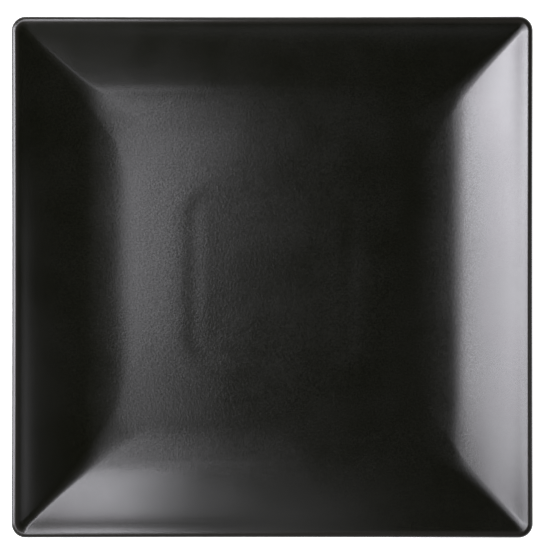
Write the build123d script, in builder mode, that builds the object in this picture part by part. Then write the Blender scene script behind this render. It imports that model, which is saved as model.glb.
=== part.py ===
from build123d import *

import os
from math import cos, radians, sin

# Square stoneware dinner plate: pressed clay under a satin black glaze, standing on a dry foot ring.
# Millimetres and degrees. The table is z = 0, and the middle of the foot stands on the origin.

# Whole plate
plate_side = 260.0
well_depth = 16.4
base_thickness = 5.8
foot_height = 2.8

# Rim: a full round edge on a short straight stretch
lip_radius = 2.0
rim_angle = 27.0
rim_flat = 5.5

# Wall from the rim inwards: it eases off to a flatter slope, which runs out into the floor
slope_angle = 20.0
floor_blend_radius = 58.0

# Corners seen from above: a crisp mitre down the wall, which opens late into a rounded floor
mitre_radius = 1.8
floor_corner_radius = 22.0
mitre_power = 6

# Rings under the floor: the foot, and an inner ring that kept the floor from sagging in the kiln
foot_setback = 3.6
foot_width = 5.0
support_gap = 28.4
support_width = 4.5
support_corner_radius = 12.0
support_clearance = 0.4
root_radius = 1.2
ring_edge_radius = 0.8

# Shallow mark that the drying clay drew into the floor, above the support ring
sink_width = 12.0
sink_depth = 0.08

# Glaze
glaze_thickness = 0.35
glaze_line = 1.5

# Cross-sections that each stretch of the well is lofted through
floor_steps = 5
wall_steps = 5

# Heights and places that follow from these sizes
floor_height = foot_height + base_thickness
plate_height = floor_height + well_depth
rim_tilt = radians(rim_angle)
slope_tilt = radians(slope_angle)
rim_thickness = 2 * lip_radius
lip_axis = plate_side / 2 - lip_radius
lip_axis_height = plate_height - lip_radius

# The rim's straight stretch touches the round edge, and the swept lip meets the lofted well halfway along it
rim_end = lip_axis - lip_radius * sin(rim_tilt)
rim_end_height = lip_axis_height + lip_radius * cos(rim_tilt)
joint = rim_end - rim_flat / 2 * cos(rim_tilt)
joint_height = rim_end_height - rim_flat / 2 * sin(rim_tilt)
rim_start = joint - rim_flat / 2 * cos(rim_tilt)
rim_start_height = joint_height - rim_flat / 2 * sin(rim_tilt)

# The wall's own curve fills the height that is left between the rim and the floor's blend
slope_foot_height = floor_height + floor_blend_radius * (1 - cos(slope_tilt))
wall_radius = (rim_start_height - slope_foot_height) / (cos(slope_tilt) - cos(rim_tilt))
slope_foot = rim_start - wall_radius * (sin(rim_tilt) - sin(slope_tilt))
floor_edge = slope_foot - floor_blend_radius * sin(slope_tilt)

# The foot follows the floor's edge, and the support ring follows the foot
foot_side = 2 * (floor_edge - foot_setback)
foot_corner_radius = floor_corner_radius - foot_setback
support_side = foot_side - 2 * foot_width - 2 * support_gap

# Stations of the well as half side, height and tilt, from the floor's edge out to the joint
well_line = [(floor_edge, floor_height, 0.0)]
for step in range(1, floor_steps + 1):
    tilt = slope_tilt * step / floor_steps
    run = floor_blend_radius * sin(tilt)
    climb = floor_blend_radius * (1 - cos(tilt))
    well_line.append((floor_edge + run, floor_height + climb, tilt))
for step in range(1, wall_steps + 1):
    tilt = slope_tilt + (rim_tilt - slope_tilt) * step / wall_steps
    run = wall_radius * (sin(tilt) - sin(slope_tilt))
    climb = wall_radius * (cos(slope_tilt) - cos(tilt))
    well_line.append((slope_foot + run, slope_foot_height + climb, tilt))
well_line.append((joint, joint_height, rim_tilt))


def corner_radius(half_side):
    """Plan radius of the corners where the well is this far from the middle."""
    share = (joint - half_side) / (joint - floor_edge)
    return mitre_radius + (floor_corner_radius - mitre_radius) * share**mitre_power


def wall_thickness(half_side):
    """Wall under the well, from the thick floor to the thinner rim."""
    share = (half_side - floor_edge) / (joint - floor_edge)
    return base_thickness + (rim_thickness - base_thickness) * share


def below(station, depth):
    """Section (half side, height, corner radius) that lies this deep under the well."""
    half_side, height, tilt = station
    return half_side, height - depth / cos(tilt), corner_radius(half_side)


def lofted(sections):
    """Solid through rounded squares."""
    with BuildPart() as solid:
        for half_side, height, radius in sections:
            with BuildSketch(Plane.XY.offset(height)):
                RectangleRounded(2 * half_side, 2 * half_side, radius)
        loft()
    return solid.part


def square_path(half_side, height, radius):
    """Rounded square at this height, and the plane across its start with X outwards and Y upwards."""
    with BuildSketch(Plane.XY.offset(height)) as outline:
        RectangleRounded(2 * half_side, 2 * half_side, radius)
    path = outline.sketch.face().outer_wire()
    along = path % 0
    return path, Plane(path @ 0, x_dir=along.cross(Vector(0, 0, 1)), z_dir=-along)


def lip_ring(depth):
    """Rim and lip from the joint outwards, with their surface this deep under the finished one."""
    path, across = square_path(joint, 0, mitre_radius)
    joint_top = joint_height - depth / cos(rim_tilt)
    joint_bottom = joint_height - (rim_thickness - depth) / cos(rim_tilt)
    lip_centre = (lip_axis - joint, lip_axis_height)
    with BuildPart() as solid:
        with BuildSketch(across):
            with BuildLine():
                edge = CenterArc(lip_centre, lip_radius - depth, rim_angle + 90, -180)
                Polyline(edge @ 1, (0, joint_bottom), (0, joint_top), edge @ 0)
            make_face()
        sweep(path=path)
    return solid.part


def floor_ring(side, width, radius, bottom, depth):
    """Ring under the floor, flared into it at the root, with its lower edges sponged round."""
    path, across = square_path(side / 2, 0, radius)
    root = root_radius + depth
    root_height = foot_height - root_radius
    edge_height = bottom + ring_edge_radius
    inner_edge_axis = depth - width + ring_edge_radius
    outer_edge_axis = -depth - ring_edge_radius
    overlap_height = floor_height - base_thickness / 2
    with BuildPart() as solid:
        with BuildSketch(across):
            with BuildLine():
                outer_root = CenterArc((root_radius, root_height), root, 90, 90)
                outer_edge = CenterArc((outer_edge_axis, edge_height), ring_edge_radius, 0, -90)
                inner_edge = CenterArc((inner_edge_axis, edge_height), ring_edge_radius, 270, -90)
                inner_root = CenterArc((-width - root_radius, root_height), root, 0, 90)
                inner_top = (-width - root_radius, overlap_height)
                outer_top = (root_radius, overlap_height)
                Line(outer_root @ 1, outer_edge @ 0)
                Line(outer_edge @ 1, inner_edge @ 0)
                Line(inner_edge @ 1, inner_root @ 0)
                Polyline(inner_root @ 1, inner_top, outer_top, outer_root @ 0)
            make_face()
        sweep(path=path)
    return solid.part


def sink_mark(depth):
    """Shallow groove above the support ring, to cut from a floor this deep under the finished one."""
    half_side = (support_side - support_width) / 2
    radius = support_corner_radius - support_width / 2
    path, across = square_path(half_side, floor_height - depth, radius)
    reach = sink_width / 2
    with BuildPart() as solid:
        with BuildSketch(across):
            with BuildLine():
                ThreePointArc((-reach, 0), (0, -sink_depth), (reach, 0))
                Polyline((reach, 0), (reach, well_depth), (-reach, well_depth), (-reach, 0))
            make_face()
        sweep(path=path)
    return solid.part


def plate_form(depth):
    """Plate whose glazed surfaces all lie this deep under the finished ones. The rings keep their height."""
    upper = [below(station, depth) for station in well_line]
    lower = [below(station, wall_thickness(station[0]) - depth) for station in well_line]
    joint_top = upper[-1][1]
    joint_bottom = lower[-1][1]
    shell = lofted(lower)
    well = lofted(upper)
    lip = lip_ring(depth)
    foot = floor_ring(foot_side, foot_width, foot_corner_radius, 0.0, depth)
    support = floor_ring(support_side, support_width, support_corner_radius, support_clearance, depth)
    sink = sink_mark(depth)
    with BuildPart() as form:
        add(shell)
        with BuildSketch(Plane.XY.offset(joint_bottom)):
            RectangleRounded(2 * joint, 2 * joint, mitre_radius)
        extrude(amount=joint_top - joint_bottom)
        add(well, mode=Mode.SUBTRACT)
        add(lip)
        add(foot)
        add(support)
        add(sink, mode=Mode.SUBTRACT)
    return form.part


glazed_form = plate_form(0.0)
clay_form = plate_form(glaze_thickness)

# Pressed clay body, bare on the two rings
with BuildPart() as stoneware_body:
    add(clay_form)

# Fired glaze, wiped off below the glaze line, which leaves one island outside the foot and two inside it
with BuildPart() as fired_glaze:
    add(glazed_form)
    add(clay_form, mode=Mode.SUBTRACT)
    split(bisect_by=Plane.XY.offset(glaze_line), keep=Keep.TOP)
islands = fired_glaze.solids().sort_by(lambda island: island.bounding_box().size.X)

# Glaze inside the support ring
with BuildPart() as centre_glaze:
    add(islands[0])

# Glaze between the foot and the support ring
with BuildPart() as recess_glaze:
    add(islands[1])

# Glaze over the well, the lip and the outside
with BuildPart() as glaze_coat:
    add(islands[2])

stoneware_body.part.label = "stoneware_body"
glaze_coat.part.label = "glaze_coat"
recess_glaze.part.label = "recess_glaze"
centre_glaze.part.label = "centre_glaze"

os.makedirs("parts", exist_ok=True)
for piece in (stoneware_body, glaze_coat, recess_glaze, centre_glaze):
    export_step(piece.part, f"parts/{piece.part.label}.step")
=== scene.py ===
from math import asin, cos, pi, radians, sin

import bmesh
import bpy
import numpy as np
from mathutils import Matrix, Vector


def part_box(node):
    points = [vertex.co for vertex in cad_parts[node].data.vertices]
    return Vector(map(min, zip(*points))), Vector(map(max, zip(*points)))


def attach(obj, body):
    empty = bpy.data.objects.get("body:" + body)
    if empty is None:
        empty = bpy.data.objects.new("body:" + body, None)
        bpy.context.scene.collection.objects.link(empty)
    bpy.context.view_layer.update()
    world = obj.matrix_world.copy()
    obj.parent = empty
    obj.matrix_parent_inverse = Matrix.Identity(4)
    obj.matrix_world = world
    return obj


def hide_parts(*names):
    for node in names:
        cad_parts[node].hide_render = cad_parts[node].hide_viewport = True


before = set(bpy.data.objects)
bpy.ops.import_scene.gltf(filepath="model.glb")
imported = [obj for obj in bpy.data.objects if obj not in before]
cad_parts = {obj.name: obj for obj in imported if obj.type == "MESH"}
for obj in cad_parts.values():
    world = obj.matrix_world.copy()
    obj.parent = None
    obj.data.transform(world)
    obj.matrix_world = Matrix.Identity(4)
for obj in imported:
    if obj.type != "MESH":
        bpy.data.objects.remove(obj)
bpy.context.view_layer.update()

# Square stoneware dinner plate, in metres, standing on the floor at the origin
MM = 0.001
SEED = 27
rng = np.random.default_rng(SEED)

# Sizes that the frame gives
coat_low, coat_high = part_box("glaze_coat")
PLATE_HALF = coat_high.x
PLATE_HEIGHT = coat_high.z
GLAZE_LINE = coat_low.z

# Sizes of the pressed profile
BASE_THICKNESS = 5.8 * MM
FOOT_HEIGHT = 2.8 * MM
LIP_RADIUS = 2.0 * MM
RIM_TILT = radians(27)
RIM_FLAT = 5.5 * MM
SLOPE_TILT = radians(20)
FLOOR_BLEND_RADIUS = 58 * MM

# Corners seen from above: the outline, the mitre down the wall, and the floor that the mitre opens into
OUTLINE_RADIUS = 7.2 * MM
MITRE_RADIUS = 3.2 * MM
FLOOR_CORNER_RADIUS = 14 * MM
MITRE_POWER = 2.3

# Rings under the floor: the foot, and the support ring inside it
FOOT_SETBACK = 3.6 * MM
FOOT_CORNER_RADIUS = 18.4 * MM
FOOT_WIDTH = 5.0 * MM
SUPPORT_GAP = 28.4 * MM
SUPPORT_WIDTH = 4.5 * MM
SUPPORT_CORNER_RADIUS = 12 * MM
SUPPORT_CLEARANCE = 0.4 * MM
ROOT_RADIUS = 1.2 * MM
RING_EDGE_RADIUS = 0.8 * MM

# Glaze, and the thin gap that keeps it apart from the clay
GLAZE_THICKNESS = 0.35 * MM
GLAZE_SEAT = 0.01 * MM

# Fired well: its tilt in degrees at places from the middle outwards, and the reach that evens it out
WELL_TILTS = (
    (22 * MM, 0.0),
    (34 * MM, 0.4),
    (45 * MM, 0.4),
    (52 * MM, -0.6),
    (58 * MM, -0.95),
    (69 * MM, -0.95),
    (72 * MM, -0.5),
    (80 * MM, 4.6),
    (91.5 * MM, 9.6),
    (97 * MM, 18.8),
    (104 * MM, 21.0),
    (118 * MM, 25.2),
    (123 * MM, 28.6),
    (125 * MM, 29.0),
)
TILT_BLEND = 2.4 * MM

# Samples that a tilt is evened out over, and steps that the well's climb is added up in
TILT_SAMPLES = 9
CLIMB_STEPS = 400

# Rounder corners on the crown of the floor, and the shallow sink mark over the support ring
CROWN_ROUNDING = 20 * MM
SINK_WIDTH = 14 * MM
SINK_DEPTH = 0.07 * MM

# Kiln warp of the sides and the rim, and the power with which it grows towards the edge
SIDE_BOW = 0.25 * MM
RIM_SAG = 0.2 * MM
BOW_POWER = 3

# Faint ripple: a sum of waves, clipped at its spread times the root of their number
RIPPLE = 0.03 * MM
RIPPLE_WAVES = 14
RIPPLE_SHORTEST = 24 * MM
RIPPLE_LONGEST = 70 * MM
RIPPLE_SPREAD = 3

# Swells in the floor, each with the place of its middle and its rise
FLOOR_SWELLS = (
    (16 * MM, 63 * MM, 0.2 * MM),
    (-6 * MM, -52 * MM, 0.15 * MM),
)
SWELL_REACH = 24 * MM

# Glaze line that wanders up and down the rings: a like sum of waves, each repeated round the plate
LINE_WANDER = 0.25 * MM
LINE_WAVES = 9
LINE_FEWEST_REPEATS = 3
LINE_REPEATS_LIMIT = 40
LINE_SPREAD = 2

# Points along each side and round each corner of a row, and the flat middle that a grid fills
SIDE_POINTS = 40
CORNER_POINTS = 16
GRID_CELLS = SIDE_POINTS + CORNER_POINTS
RING_POINTS = 4 * GRID_CELLS
GRID_HALF = 22 * MM
GRID_RADIUS = 1.5 * MM

# Rows along each stretch of the profile, both ends included
WELL_ROWS = 67
LIP_ROWS = 23
WALL_ROWS = 12
BLEND_ROWS = 15
ROOT_ROWS = 9
BEAD_ROWS = 7
RING_EDGE_ROWS = 7

# Places that follow from these sizes
FLOOR_HEIGHT = FOOT_HEIGHT + BASE_THICKNESS
RIM_THICKNESS = 2 * LIP_RADIUS
LIP_AXIS = PLATE_HALF - LIP_RADIUS
LIP_AXIS_HEIGHT = PLATE_HEIGHT - LIP_RADIUS
JOINT = LIP_AXIS - LIP_RADIUS * sin(RIM_TILT) - RIM_FLAT / 2 * cos(RIM_TILT)
JOINT_HEIGHT = LIP_AXIS_HEIGHT + LIP_RADIUS * cos(RIM_TILT) - RIM_FLAT / 2 * sin(RIM_TILT)
RIM_START = JOINT - RIM_FLAT / 2 * cos(RIM_TILT)
RIM_START_HEIGHT = JOINT_HEIGHT - RIM_FLAT / 2 * sin(RIM_TILT)
SLOPE_FOOT_HEIGHT = FLOOR_HEIGHT + FLOOR_BLEND_RADIUS * (1 - cos(SLOPE_TILT))
WALL_RADIUS = (RIM_START_HEIGHT - SLOPE_FOOT_HEIGHT) / (cos(SLOPE_TILT) - cos(RIM_TILT))
SLOPE_FOOT = RIM_START - WALL_RADIUS * (sin(RIM_TILT) - sin(SLOPE_TILT))
FLOOR_EDGE = SLOPE_FOOT - FLOOR_BLEND_RADIUS * sin(SLOPE_TILT)
FOOT_HALF = FLOOR_EDGE - FOOT_SETBACK
BASE_CORNER_RADIUS = FOOT_CORNER_RADIUS + FOOT_SETBACK
FOOT_INNER = FOOT_HALF - FOOT_WIDTH
FOOT_INNER_RADIUS = FOOT_CORNER_RADIUS - FOOT_WIDTH
SUPPORT_HALF = FOOT_INNER - SUPPORT_GAP
SUPPORT_INNER = SUPPORT_HALF - SUPPORT_WIDTH
SUPPORT_INNER_RADIUS = SUPPORT_CORNER_RADIUS - SUPPORT_WIDTH
SINK_HALF = SUPPORT_HALF - SUPPORT_WIDTH / 2
SINK_RADIUS = SUPPORT_CORNER_RADIUS - SUPPORT_WIDTH / 2
SINK_END = SINK_HALF + SINK_WIDTH / 2
SINK_END_RADIUS = SINK_RADIUS + SINK_WIDTH / 2
BEAD_RADIUS = GLAZE_THICKNESS / 2
CLAY_DEPTH = GLAZE_THICKNESS + GLAZE_SEAT


def smooth(start, end, place):
    """Half-cosine step from 0 at the start to 1 at the end."""
    share = min(max((place - start) / (end - start), 0), 1)
    return (1 - cos(pi * share)) / 2


def arch(share):
    """Parabola that is 1 halfway and 0 at both ends."""
    return 4 * share * (1 - share)


def corner_radius(half_side, floor_radius=FLOOR_CORNER_RADIUS):
    """Plan radius of the corners this far out, on a wall that opens to this radius at the floor."""
    if half_side > JOINT:
        share = (half_side - JOINT) / (PLATE_HALF - JOINT)
        return MITRE_RADIUS + (OUTLINE_RADIUS - MITRE_RADIUS) * share
    if half_side > FLOOR_EDGE:
        share = (JOINT - half_side) / (JOINT - FLOOR_EDGE)
        return MITRE_RADIUS + (floor_radius - MITRE_RADIUS) * share**MITRE_POWER
    if half_side > SINK_END:
        share = (half_side - SINK_END) / (FLOOR_EDGE - SINK_END)
        return SINK_END_RADIUS + (floor_radius - SINK_END_RADIUS) * share + CROWN_ROUNDING * arch(share)
    return max(SINK_RADIUS + half_side - SINK_HALF, GRID_RADIUS)


def well_tilt(half_side):
    """Tilt of the fired well this far from the middle, evened out with the tilts beside it."""
    places, tilts = np.array(WELL_TILTS).T
    offsets = np.linspace(-TILT_BLEND, TILT_BLEND, TILT_SAMPLES)
    nearby = [np.interp(half_side + offset, places, tilts) for offset in offsets]
    return np.radians(np.mean(nearby, axis=0))


def well_height(half_side):
    """Height of the fired well, which climbs by its tilt and meets the rim at the joint."""
    steps = np.linspace(half_side, JOINT, CLIMB_STEPS)
    slopes = np.tan(well_tilt(steps))
    climb = np.sum((slopes[1:] + slopes[:-1]) / 2) * (steps[1] - steps[0])
    away = abs(half_side - SINK_HALF) / (SINK_WIDTH / 2)
    return JOINT_HEIGHT - climb - SINK_DEPTH * (1 - smooth(0, 1, away))


# A row is a rounded square, given by its half side, its height and its corner radius
def well_rows(depth):
    """Rows of the well from the middle's grid to the joint, this deep under its surface."""
    rows = []
    for half_side in np.linspace(GRID_HALF, JOINT, WELL_ROWS):
        height = well_height(half_side) - depth / cos(well_tilt(half_side))
        rows.append((half_side, height, corner_radius(half_side)))
    return rows


def lip_rows(depth):
    """Rows round the lip, from the top of the rim to its underside."""
    rows = []
    for turn in np.linspace(RIM_TILT + pi / 2, RIM_TILT - pi / 2, LIP_ROWS):
        half_side = LIP_AXIS + (LIP_RADIUS - depth) * cos(turn)
        height = LIP_AXIS_HEIGHT + (LIP_RADIUS - depth) * sin(turn)
        rows.append((half_side, height, corner_radius(half_side)))
    return rows


def outside_rows(depth):
    """Rows under the wall, from the joint in to the base."""
    stations = [(JOINT, JOINT_HEIGHT, RIM_TILT)]
    for tilt in np.linspace(RIM_TILT, SLOPE_TILT, WALL_ROWS):
        run = WALL_RADIUS * (sin(tilt) - sin(SLOPE_TILT))
        climb = WALL_RADIUS * (cos(SLOPE_TILT) - cos(tilt))
        stations.append((SLOPE_FOOT + run, SLOPE_FOOT_HEIGHT + climb, tilt))
    for tilt in np.linspace(SLOPE_TILT, 0, BLEND_ROWS)[1:]:
        run = FLOOR_BLEND_RADIUS * sin(tilt)
        climb = FLOOR_BLEND_RADIUS * (1 - cos(tilt))
        stations.append((FLOOR_EDGE + run, FLOOR_HEIGHT + climb, tilt))
    rows = []
    for half_side, height, tilt in stations:
        share = (half_side - FLOOR_EDGE) / (JOINT - FLOOR_EDGE)
        wall = BASE_THICKNESS + (RIM_THICKNESS - BASE_THICKNESS) * share
        radius = corner_radius(half_side, BASE_CORNER_RADIUS)
        rows.append((half_side, height - (wall - depth) / cos(tilt), radius))
    return rows


def root_rows(half, radius, side, depth):
    """Rows of a ring's root, from the base to the glaze line; side is 1 outside a ring, -1 inside it."""
    reach = ROOT_RADIUS + depth
    axis_height = FOOT_HEIGHT - ROOT_RADIUS
    last = pi - asin((GLAZE_LINE + BEAD_RADIUS - axis_height) / reach)
    rows = []
    for turn in np.linspace(pi / 2, last, ROOT_ROWS):
        away = side * (ROOT_RADIUS + reach * cos(turn))
        rows.append((half + away, axis_height + reach * sin(turn), radius + away))
    return rows


def bead_rows(half, radius, side):
    """Rows round the lower edge of the glaze on a ring, from its outer face to its inner face."""
    rows = []
    for turn in np.linspace(0, -pi, BEAD_ROWS)[1:-1]:
        away = side * BEAD_RADIUS * (cos(turn) - 1)
        rows.append((half + away, GLAZE_LINE + BEAD_RADIUS * (1 + sin(turn)), radius + away))
    return rows


def ring_rows(half, radius, width, low):
    """Rows of a bare ring, from its outer wall under its lower face to its inner wall."""
    outer_axis = half - CLAY_DEPTH - RING_EDGE_RADIUS
    inner_axis = half - width + CLAY_DEPTH + RING_EDGE_RADIUS
    rows = []
    for axis, first in ((outer_axis, 0), (inner_axis, -pi / 2)):
        for turn in np.linspace(first, first - pi / 2, RING_EDGE_ROWS):
            place = axis + RING_EDGE_RADIUS * cos(turn)
            height = low + RING_EDGE_RADIUS * (1 + sin(turn))
            rows.append((place, height, radius - half + place))
    return rows


def coat_rows(depth):
    """Rows of one face of the glaze coat, from the middle of the floor over the lip to the foot."""
    rows = well_rows(depth) + lip_rows(depth) + outside_rows(depth)
    return rows + root_rows(FOOT_HALF, FOOT_CORNER_RADIUS, 1, depth)


def recess_rows(depth):
    """Rows of one face of the recess glaze, from the foot to the support ring."""
    foot_root = root_rows(FOOT_INNER, FOOT_INNER_RADIUS, -1, depth)
    return foot_root[::-1] + root_rows(SUPPORT_HALF, SUPPORT_CORNER_RADIUS, 1, depth)


def centre_rows(depth):
    """Rows of one face of the centre glaze, from the support ring to the middle's grid."""
    root = root_rows(SUPPORT_INNER, SUPPORT_INNER_RADIUS, -1, depth)
    return root[::-1] + [(GRID_HALF, FOOT_HEIGHT + depth, GRID_RADIUS)]


def hidden(rows):
    """Every second row of a face that the glaze covers, with both ends kept."""
    return rows[:-1:2] + rows[-1:]


def ring_points(half_side, radius):
    """Points round a rounded square, with the same count along every side and corner."""
    reach = half_side - radius
    points = [(half_side, y) for y in np.linspace(-reach, reach, SIDE_POINTS + 1)[:-1]]
    for angle in np.linspace(0, pi / 2, CORNER_POINTS + 1)[:-1]:
        points.append((reach + radius * cos(angle), reach + radius * sin(angle)))
    x, y = np.array(points).T
    quarters = ((x, y), (-y, x), (-x, -y), (y, -x))
    return np.concatenate([np.column_stack(quarter) for quarter in quarters])


class Skin:
    """Points and faces of a piece, made from rows and from the grids that close its flat middles."""

    def __init__(self):
        self.points = []
        self.faces = []

    def row(self, half_side, height, radius):
        """Adds one row and gives the place of its first point."""
        first = len(self.points)
        self.points += [(x, y, height) for x, y in ring_points(half_side, radius)]
        return first

    def strip(self, first, second):
        """Joins two rows with faces."""
        for place in range(RING_POINTS):
            after = (place + 1) % RING_POINTS
            self.faces.append((first + place, first + after, second + after, second + place))

    def rows(self, rows, closed=False):
        """Adds rows one after another and gives the first and the last."""
        starts = [self.row(*row) for row in rows]
        for first, second in zip(starts, starts[1:]):
            self.strip(first, second)
        if closed:
            self.strip(starts[-1], starts[0])
        return starts[0], starts[-1]

    def grid(self, start):
        """Closes a row with a square grid, whose inner points run straight between facing sides."""
        last = GRID_CELLS
        index = np.zeros((last + 1, last + 1), int)
        corner = SIDE_POINTS + CORNER_POINTS // 2
        for k in range(last + 1):
            index[last - k, last] = start + (corner + k) % RING_POINTS
            index[0, last - k] = start + (corner + last + k) % RING_POINTS
            index[k, 0] = start + (corner + 2 * last + k) % RING_POINTS
            index[last, k] = start + (corner + 3 * last + k) % RING_POINTS
        points = np.array(self.points)
        left = points[index[0]]
        right = points[index[last]]
        front = points[index[:, 0]]
        back = points[index[:, last]]
        for i in range(1, last):
            for j in range(1, last):
                s = i / last
                t = j / last
                across = (1 - s) * left[j] + s * right[j]
                along = (1 - t) * front[i] + t * back[i]
                left_chord = (1 - t) * left[0] + t * left[last]
                right_chord = (1 - t) * right[0] + t * right[last]
                index[i, j] = len(self.points)
                self.points.append(tuple(across + along - (1 - s) * left_chord - s * right_chord))
        for i in range(last):
            for j in range(last):
                self.faces.append((index[i, j], index[i + 1, j], index[i + 1, j + 1], index[i, j + 1]))

    def build(self, name, shape):
        """Makes the object, with its points put through a shaping function and its faces turned outwards."""
        mesh = bpy.data.meshes.new(name)
        mesh.from_pydata(shape(np.array(self.points)).tolist(), [], self.faces)
        work = bmesh.new()
        work.from_mesh(mesh)
        bmesh.ops.recalc_face_normals(work, faces=work.faces)
        work.to_mesh(mesh)
        work.free()
        mesh.shade_smooth()
        piece = bpy.data.objects.new(name, mesh)
        bpy.context.scene.collection.objects.link(piece)
        return piece


ripple_turns = rng.uniform(0, 2 * pi, RIPPLE_WAVES)
ripple_lengths = rng.uniform(RIPPLE_SHORTEST, RIPPLE_LONGEST, RIPPLE_WAVES)
ripple_starts = rng.uniform(0, 2 * pi, RIPPLE_WAVES)
line_repeats = rng.integers(LINE_FEWEST_REPEATS, LINE_REPEATS_LIMIT, LINE_WAVES)
line_starts = rng.uniform(0, 2 * pi, LINE_WAVES)


def levelled(total, count, spread):
    """Sum of this many waves as a share from 0 to 1, clipped at the spread times the root of their number."""
    return (np.clip(total / (spread * count**0.5), -1, 1) + 1) / 2


def fired(points):
    """Kiln warp: sides bowed in between the corners, a rim low there, a faint ripple, and the swells."""
    x, y, z = points.T
    across = np.clip(np.abs(x) / PLATE_HALF, 0, 1) ** BOW_POWER
    along = np.clip(np.abs(y) / PLATE_HALF, 0, 1) ** BOW_POWER
    bow_x = across * (1 - (y / PLATE_HALF) ** 2)
    bow_y = along * (1 - (x / PLATE_HALF) ** 2)
    ripple = np.zeros_like(x)
    for turn, length, start in zip(ripple_turns, ripple_lengths, ripple_starts):
        ripple += np.sin(2 * pi * (x * cos(turn) + y * sin(turn)) / length + start)
    drop = RIM_SAG * (bow_x + bow_y) + RIPPLE * levelled(ripple, RIPPLE_WAVES, RIPPLE_SPREAD)
    for middle_x, middle_y, rise in FLOOR_SWELLS:
        away = np.hypot(x - middle_x, y - middle_y) / SWELL_REACH
        drop -= rise * np.exp(-(away**2) / 2)
    above_foot = np.clip((z - FOOT_HEIGHT / 2) / (FOOT_HEIGHT / 2), 0, 1)
    bowed_x = x - np.sign(x) * SIDE_BOW * bow_x
    bowed_y = y - np.sign(y) * SIDE_BOW * bow_y
    return np.column_stack([bowed_x, bowed_y, z - drop * above_foot])


def glazed(points):
    """Kiln warp, with a glaze line that wanders up and down the rings."""
    x, y, z = points.T
    turn = np.arctan2(y, x)
    wander = np.zeros_like(x)
    for repeats, start in zip(line_repeats, line_starts):
        wander += np.sin(repeats * turn + start)
    low = np.clip((FOOT_HEIGHT - z) / (FOOT_HEIGHT - GLAZE_LINE), 0, 1)
    rise = LINE_WANDER * levelled(wander, LINE_WAVES, LINE_SPREAD) * low**2
    return fired(np.column_stack([x, y, z + rise]))


# Glaze over the well, the lip and the outside
coat = Skin()
edge = bead_rows(FOOT_HALF, FOOT_CORNER_RADIUS, 1)
first, last = coat.rows(coat_rows(0) + edge + hidden(coat_rows(GLAZE_THICKNESS))[::-1])
coat.grid(first)
coat.grid(last)
glaze_coat = coat.build("glaze_coat_piece", glazed)

# Glaze in the recess between the two rings
recess = Skin()
support_edge = bead_rows(SUPPORT_HALF, SUPPORT_CORNER_RADIUS, 1)
foot_edge = bead_rows(FOOT_INNER, FOOT_INNER_RADIUS, -1)
covered = hidden(recess_rows(GLAZE_THICKNESS))
recess.rows(recess_rows(0) + support_edge + covered[::-1] + foot_edge[::-1], closed=True)
recess_glaze = recess.build("recess_glaze_piece", glazed)

# Glaze inside the support ring
centre = Skin()
edge = bead_rows(SUPPORT_INNER, SUPPORT_INNER_RADIUS, -1)
first, last = centre.rows(centre_rows(0)[::-1] + edge + hidden(centre_rows(GLAZE_THICKNESS)))
centre.grid(first)
centre.grid(last)
centre_glaze = centre.build("centre_glaze_piece", glazed)

# Pressed clay body, bare on the rings
body = Skin()
body_rows = hidden(coat_rows(CLAY_DEPTH))
body_rows += ring_rows(FOOT_HALF, FOOT_CORNER_RADIUS, FOOT_WIDTH, 0)
body_rows += hidden(recess_rows(CLAY_DEPTH))
body_rows += ring_rows(SUPPORT_HALF, SUPPORT_CORNER_RADIUS, SUPPORT_WIDTH, SUPPORT_CLEARANCE)
body_rows += hidden(centre_rows(CLAY_DEPTH))
first, last = body.rows(body_rows)
body.grid(first)
body.grid(last)
stoneware_body = body.build("stoneware_body_piece", fired)


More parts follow.
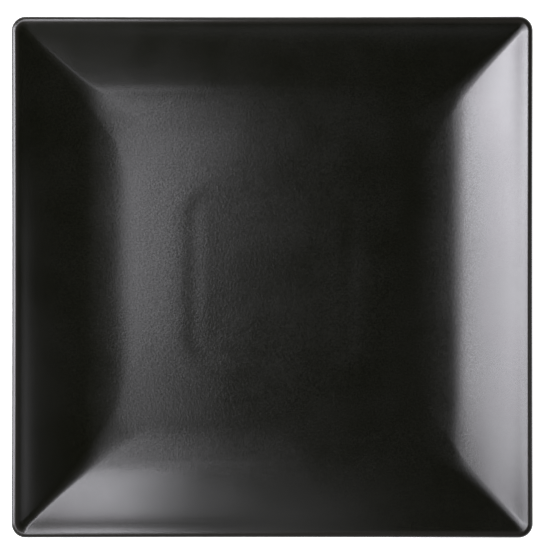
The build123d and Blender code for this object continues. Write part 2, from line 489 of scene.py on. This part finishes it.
class Finish:
    """Material with a Principled shader, and short ways to add its nodes."""

    def __init__(self, name):
        self.material = bpy.data.materials.new(name)
        self.material.use_nodes = True
        self.tree = self.material.node_tree
        self.shader = self.tree.nodes["Principled BSDF"]
        self.place = self.tree.nodes.new("ShaderNodeTexCoord").outputs["Object"]
        self.axes = self.add("ShaderNodeSeparateXYZ", {"Vector": self.place}).outputs

    def set(self, socket, value):
        """Sets a constant, or links a node's output, on one of the shader's sockets."""
        if isinstance(value, bpy.types.NodeSocket):
            self.tree.links.new(value, self.shader.inputs[socket])
        else:
            self.shader.inputs[socket].default_value = value

    def add(self, kind, links, **values):
        """Adds a node, with links and values by the names of its sockets."""
        node = self.tree.nodes.new(kind)
        for name, value in values.items():
            node.inputs[name.replace("_", " ")].default_value = value
        for name, source in links.items():
            self.tree.links.new(source, node.inputs[name])
        return node

    def noise(self, scale, detail, roughness=0.5):
        """Noise with this many features in a metre."""
        links = {"Vector": self.place}
        node = self.add("ShaderNodeTexNoise", links, Scale=scale, Detail=detail, Roughness=roughness)
        return node.outputs["Fac"]

    def cells(self, scale):
        """Distance from the middles of scattered cells, this many in a metre."""
        node = self.add("ShaderNodeTexVoronoi", {"Vector": self.place}, Scale=scale)
        return node.outputs["Distance"]

    def ranged(self, source, span, ends):
        """Maps a value from a span to a new one, and stops at its ends."""
        low, high = span
        first, last = ends
        links = {"Value": source}
        node = self.add("ShaderNodeMapRange", links, From_Min=low, From_Max=high, To_Min=first, To_Max=last)
        return node.outputs["Result"]

    def larger(self, first, second):
        """Larger of two values, whatever their signs."""
        sizes = []
        for value in (first, second):
            size = self.tree.nodes.new("ShaderNodeMath")
            size.operation = "ABSOLUTE"
            self.tree.links.new(value, size.inputs[0])
            sizes.append(size.outputs[0])
        node = self.tree.nodes.new("ShaderNodeMath")
        node.operation = "MAXIMUM"
        for socket, size in zip(node.inputs, sizes):
            self.tree.links.new(size, socket)
        return node.outputs[0]

    def colours(self, source, low, high):
        """Colour ramp between two stops of place and colour."""
        node = self.add("ShaderNodeValToRGB", {"Fac": source})
        for element, (place, colour) in zip(node.color_ramp.elements, (low, high)):
            element.position = place
            element.color = (*colour, 1)
        return node.outputs["Color"]

    def mixed(self, share, first, second):
        """Mixes two colours, which are outputs or constants."""
        node = self.tree.nodes.new("ShaderNodeMix")
        node.data_type = "RGBA"
        share_socket = node.inputs[0]
        first_socket = node.inputs[6]
        second_socket = node.inputs[7]
        result_socket = node.outputs[2]
        self.tree.links.new(share, share_socket)
        for socket, colour in ((first_socket, first), (second_socket, second)):
            if isinstance(colour, bpy.types.NodeSocket):
                self.tree.links.new(colour, socket)
            else:
                socket.default_value = (*colour, 1)
        return result_socket

    def bumped(self, *layers):
        """Bump from layers of height and depth, one over another, each with the output that fades it."""
        normal = None
        for height, depth, fade in layers:
            links = {"Height": height}
            if fade:
                links["Strength"] = fade
            if normal:
                links["Normal"] = normal
            normal = self.add("ShaderNodeBump", links, Strength=1.0, Distance=depth).outputs["Normal"]
        self.set("Normal", normal)


def black_glaze():
    """Satin black glaze: fine eggshell grain, flecks, faint clouds, and thinner on the crest of the lip."""
    dark_cloud = (0.0042, 0.0045, 0.0020)
    light_cloud = (0.0064, 0.0066, 0.0041)
    dark_fleck = (0.0008, 0.0009, 0.0003)
    thin_glaze = (0.016, 0.0145, 0.012)
    dull_fleck = (0.34, 0.34, 0.34)
    bright_fleck = (0.66, 0.66, 0.66)
    plain_gloss = (0.5, 0.5, 0.5)
    grain_depth = 0.05 * MM
    peel_depth = 0.02 * MM
    crest_span = (PLATE_HEIGHT - 0.9 * MM, PLATE_HEIGHT - 0.2 * MM)
    slope_span = (FLOOR_HEIGHT + 0.2 * MM, FLOOR_HEIGHT + 7 * MM)

    finish = Finish("black_glaze")
    height = finish.axes["Z"]
    cloud = finish.noise(scale=38, detail=3)
    grain = finish.noise(scale=1100, detail=1)
    fleck = finish.noise(scale=1300, detail=1)
    peel = finish.noise(scale=240, detail=2)

    # Colour: clouds with darker flecks, and the clay that shows through the crest
    clouded = finish.colours(cloud, (0.3, dark_cloud), (0.75, light_cloud))
    black = finish.mixed(finish.ranged(fleck, span=(0.35, 0.65), ends=(0.25, 0.75)), dark_fleck, clouded)
    crest = finish.ranged(height, span=crest_span, ends=(0, 0.6))
    finish.set("Base Color", finish.mixed(crest, black, thin_glaze))

    # Gloss and grain: both are livelier on the floor and calm down along the slopes
    lively = finish.ranged(height, span=slope_span, ends=(0.8, 0.1))
    speckle = finish.colours(fleck, (0.3, dull_fleck), (0.7, bright_fleck))
    finish.set("Roughness", finish.ranged(cloud, span=(0.3, 0.7), ends=(0.20, 0.23)))
    finish.set("IOR", 1.52)
    finish.set("Specular IOR Level", finish.mixed(lively, plain_gloss, speckle))
    finish.bumped((grain, grain_depth, lively), (peel, peel_depth, lively))
    return finish.material


def bare_clay():
    """Dry fired stoneware: warm buff with fine grog, iron specks and a toasted line under the glaze."""
    dark_buff = (0.27, 0.225, 0.18)
    light_buff = (0.39, 0.335, 0.275)
    iron = (0.07, 0.045, 0.03)
    toasted = (0.16, 0.105, 0.065)
    grog_depth = 0.025 * MM
    dent_depth = 0.02 * MM
    toast_span = (GLAZE_LINE - 0.7 * MM, GLAZE_LINE)

    finish = Finish("bare_clay")
    cloud = finish.noise(scale=90, detail=4)
    grog = finish.noise(scale=2400, detail=3, roughness=0.65)
    speck = finish.cells(scale=700)

    buff = finish.colours(cloud, (0.3, dark_buff), (0.75, light_buff))
    specked = finish.mixed(finish.ranged(speck, span=(0.12, 0.2), ends=(0.75, 0)), buff, iron)
    toast = finish.ranged(finish.axes["Z"], span=toast_span, ends=(0, 0.55))
    finish.set("Base Color", finish.mixed(toast, specked, toasted))
    finish.set("Roughness", finish.ranged(grog, span=(0.3, 0.7), ends=(0.8, 0.92)))
    finish.bumped((grog, grog_depth, None), (cloud, dent_depth, None))
    return finish.material


glaze = black_glaze()
clay = bare_clay()
for piece, node_name, slot, material in (
    (stoneware_body, "stoneware_body", "bare_clay", clay),
    (glaze_coat, "glaze_coat", "black_glaze", glaze),
    (recess_glaze, "recess_glaze", "black_glaze", glaze),
    (centre_glaze, "centre_glaze", "black_glaze", glaze),
):
    piece.data.materials.append(material)
    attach(piece, "root")
    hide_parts(node_name)


def white_table():
    """White finish that glows evenly round the plate, and hardly at all under it: a painted contact shadow.
    """
    painted_shadow_glow = 0.1
    table_glow = 0.98
    finish = Finish("white_table")
    from_middle = finish.larger(finish.axes["X"], finish.axes["Y"])
    # Glow fades from the plate's edge in to the foot: painted shadow under the plate
    glow = finish.ranged(from_middle, span=(FOOT_HALF, PLATE_HALF), ends=(painted_shadow_glow, table_glow))
    finish.set("Base Color", (0.8, 0.8, 0.8, 1))
    finish.set("Roughness", 0.9)
    finish.set("Specular IOR Level", 0.1)
    finish.set("Emission Color", (1, 1, 1, 1))
    finish.set("Emission Strength", glow)
    return finish.material


def pale_floor():
    """Wide flat table under the plate."""
    reach = 30.0
    corners = [(-reach, -reach, 0), (reach, -reach, 0), (reach, reach, 0), (-reach, reach, 0)]
    mesh = bpy.data.meshes.new("floor")
    mesh.from_pydata(corners, [], [(0, 1, 2, 3)])
    mesh.materials.append(white_table())
    floor = bpy.data.objects.new("floor", mesh)
    bpy.context.scene.collection.objects.link(floor)


pale_floor()

# Studio light: a large key light on the left, in strips that fade towards the top, with wings and weak fills
LIGHT_DISTANCE = 0.66
LIGHT_COLOUR = (1.0, 0.99, 1.06)

# Columns of the key light: azimuth in degrees, and strength as a share
KEY_COLUMNS = ((150, 1.15), (167, 1.02), (184, 0.92), (201, 0.77))

# Strips of each column: name, zenith in degrees, size across and along, radiance, and the power of the share
KEY_STRIPS = (
    ("key_low", 37, 0.116, 0.11, 14.5, 1),
    ("key_middle", 28.5, 0.093, 0.081, 11.0, 1),
    ("key_high", 22, 0.073, 0.069, 6.0, 0),
    ("key_top", 14, 0.048, 0.115, 2.3, 0.8),
)

# Other softboxes: name, azimuth and zenith in degrees, size across and along, radiance
SOFTBOXES = (
    ("key_peak", 175, 8, 0.1, 0.07, 0.5),
    ("key_base", 175, 52, 0.55, 0.21, 12.0),
    ("key_foot", 175, 68, 0.6, 0.16, 5.0),
    ("key_edge", 150, 35, 0.07, 0.15, 4.8),
    ("key_wing", 217, 36, 0.1, 0.092, 7.5),
    ("top_wing", 227, 20, 0.13, 0.1, 2.7),
    ("side_low", 118, 35.2, 0.108, 0.078, 11.6),
    ("side_middle", 121, 28.5, 0.071, 0.081, 14.8),
    ("side_high", 127, 19, 0.08, 0.13, 3.6),
    ("back", 92, 37, 0.18, 0.2, 0.5),
    ("fill_right", 347, 45, 0.32, 0.09, 2.2),
    ("fill_front", 270, 44, 0.467, 0.11, 0.5),
)


def softbox(name, azimuth, zenith, across, along, radiance):
    """Light that faces the plate. Azimuth is counted from +X towards +Y, and zenith from straight up."""
    light = bpy.data.lights.new(name, "AREA")
    light.shape = "RECTANGLE"
    light.size = across
    light.size_y = along
    light.energy = radiance * pi * across * along
    light.color = LIGHT_COLOUR
    turn = radians(azimuth)
    lean = radians(zenith)
    away = Vector((cos(turn) * sin(lean), sin(turn) * sin(lean), cos(lean)))
    holder = bpy.data.objects.new(name, light)
    holder.location = away * LIGHT_DISTANCE
    holder.rotation_mode = "QUATERNION"
    holder.rotation_quaternion = away.to_track_quat("Z", "Y")
    bpy.context.scene.collection.objects.link(holder)


for azimuth, share in KEY_COLUMNS:
    for name, zenith, across, along, radiance, power in KEY_STRIPS:
        softbox(f"{name}_{azimuth}", azimuth, zenith, across, along, radiance * share**power)
for box in SOFTBOXES:
    softbox(*box)


def pale_room():
    """Room that is pale along the horizon and dark above it; heights are those on a sky of radius 1."""
    pale_below = 0.16
    dark_above = 0.55
    horizon_glow = 0.96
    ceiling_glow = 0.02
    world = bpy.data.worlds.new("room")
    bpy.context.scene.world = world
    world.use_nodes = True
    tree = world.node_tree
    background = tree.nodes["Background"]
    place = tree.nodes.new("ShaderNodeTexCoord")
    axes = tree.nodes.new("ShaderNodeSeparateXYZ")
    fade = tree.nodes.new("ShaderNodeMapRange")
    fade.interpolation_type = "SMOOTHSTEP"
    fade.inputs["From Min"].default_value = pale_below
    fade.inputs["From Max"].default_value = dark_above
    fade.inputs["To Min"].default_value = horizon_glow
    fade.inputs["To Max"].default_value = ceiling_glow
    tree.links.new(place.outputs["Generated"], axes.inputs["Vector"])
    tree.links.new(axes.outputs["Z"], fade.inputs["Value"])
    tree.links.new(fade.outputs["Result"], background.inputs["Strength"])
    background.inputs["Color"].default_value = (1, 1, 1, 1)


pale_room()

# Camera straight above, as in the photograph: its frame and the plate's width in pixels, and its place
IMAGE_SIDE = 550
PLATE_PIXELS = 521.5
CAMERA_RIGHT = 1.45 * MM
CAMERA_UP = 1.05 * MM
LENS = 100.0
SENSOR_WIDTH = 36.0
frame_side = 2 * PLATE_HALF * IMAGE_SIDE / PLATE_PIXELS
distance = frame_side * LENS / SENSOR_WIDTH
camera_data = bpy.data.cameras.new("camera")
camera_data.lens = LENS
camera_data.sensor_width = SENSOR_WIDTH
camera = bpy.data.objects.new("camera", camera_data)
camera.location = (CAMERA_RIGHT, CAMERA_UP, LIP_AXIS_HEIGHT + distance)
bpy.context.scene.collection.objects.link(camera)
bpy.context.scene.camera = camera
bpy.context.scene.view_settings.view_transform = "Standard"
